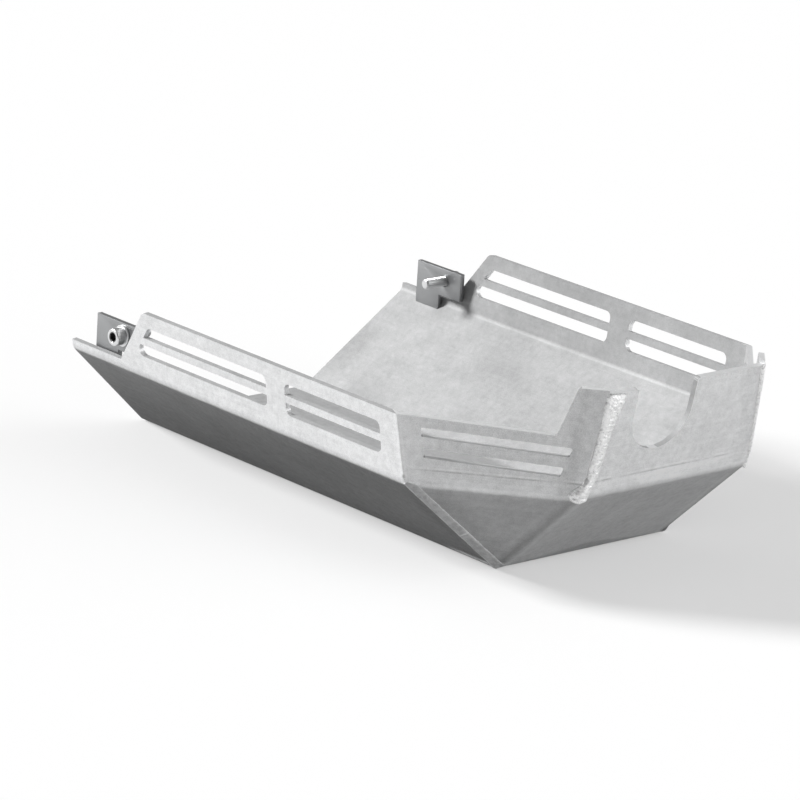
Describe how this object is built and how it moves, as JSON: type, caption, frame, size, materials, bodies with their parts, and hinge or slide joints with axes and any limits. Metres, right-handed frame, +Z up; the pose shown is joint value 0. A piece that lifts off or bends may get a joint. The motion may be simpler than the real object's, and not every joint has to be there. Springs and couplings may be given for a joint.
{
  "type": "motorcycle skid plate",
  "caption": "Folded aluminium tray guard for the underside of a motorcycle engine, with slotted side walls, a raised nose with a pipe notch and two rear brackets.",
  "frame": {"origin": "middle of the flat underside of the floor, on its outer face", "axes": "+X forward along the motorcycle, +Y to its left, +Z up"},
  "size_m": [0.4933, 0.3392, 0.1529],
  "materials": {
    "sheet_aluminium": "mill, faint press and grinding marks",
    "weld_metal": "rippled, satin",
    "bracket_aluminium": "dull mill",
    "plated_steel": "bright zinc plated"
  },
  "bodies": {
    "root": {"skid_shell": "sheet_aluminium", "nose_weld_right": "weld_metal", "corner_weld_right": "weld_metal", "rear_bracket_right": "bracket_aluminium", "bracket_washer_right": "plated_steel", "bracket_screw_right": "plated_steel", "nose_weld_left": "weld_metal", "corner_weld_left": "weld_metal", "rear_bracket_left": "bracket_aluminium", "bracket_washer_left": "plated_steel", "bracket_screw_left": "plated_steel"}
  },
  "joints": []
}
